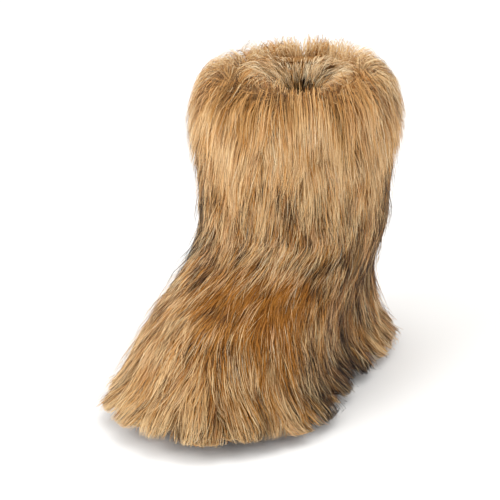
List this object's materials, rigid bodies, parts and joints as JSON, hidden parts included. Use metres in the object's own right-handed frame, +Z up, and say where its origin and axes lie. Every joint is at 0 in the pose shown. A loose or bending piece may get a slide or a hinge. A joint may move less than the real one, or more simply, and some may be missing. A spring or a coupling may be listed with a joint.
{
  "type": "snow boot",
  "caption": "Pull-on snow boot for the left foot, covered in deep artificial fur, on a flat moulded sole with a barred tread.",
  "frame": {"origin": "on the floor plane, under the middle of the heel, on the flat of the heel's middle tread bar", "axes": "+Z up; +Y towards the heel's back, so the toe points along -Y; +X towards the little-toe side"},
  "size_m": [0.1874, 0.3472, 0.2661],
  "materials": {
    "outsole": "matt moulded rubber",
    "insole": "brushed plush over foam",
    "upper": "knitted backing with a short plush lining",
    "fur": "deep soft acrylic pile in tan and brown with dark tips"
  },
  "bodies": {
    "root": {"outsole": "outsole", "insole": "insole", "upper": "upper", "fur": "fur"}
  },
  "joints": []
}
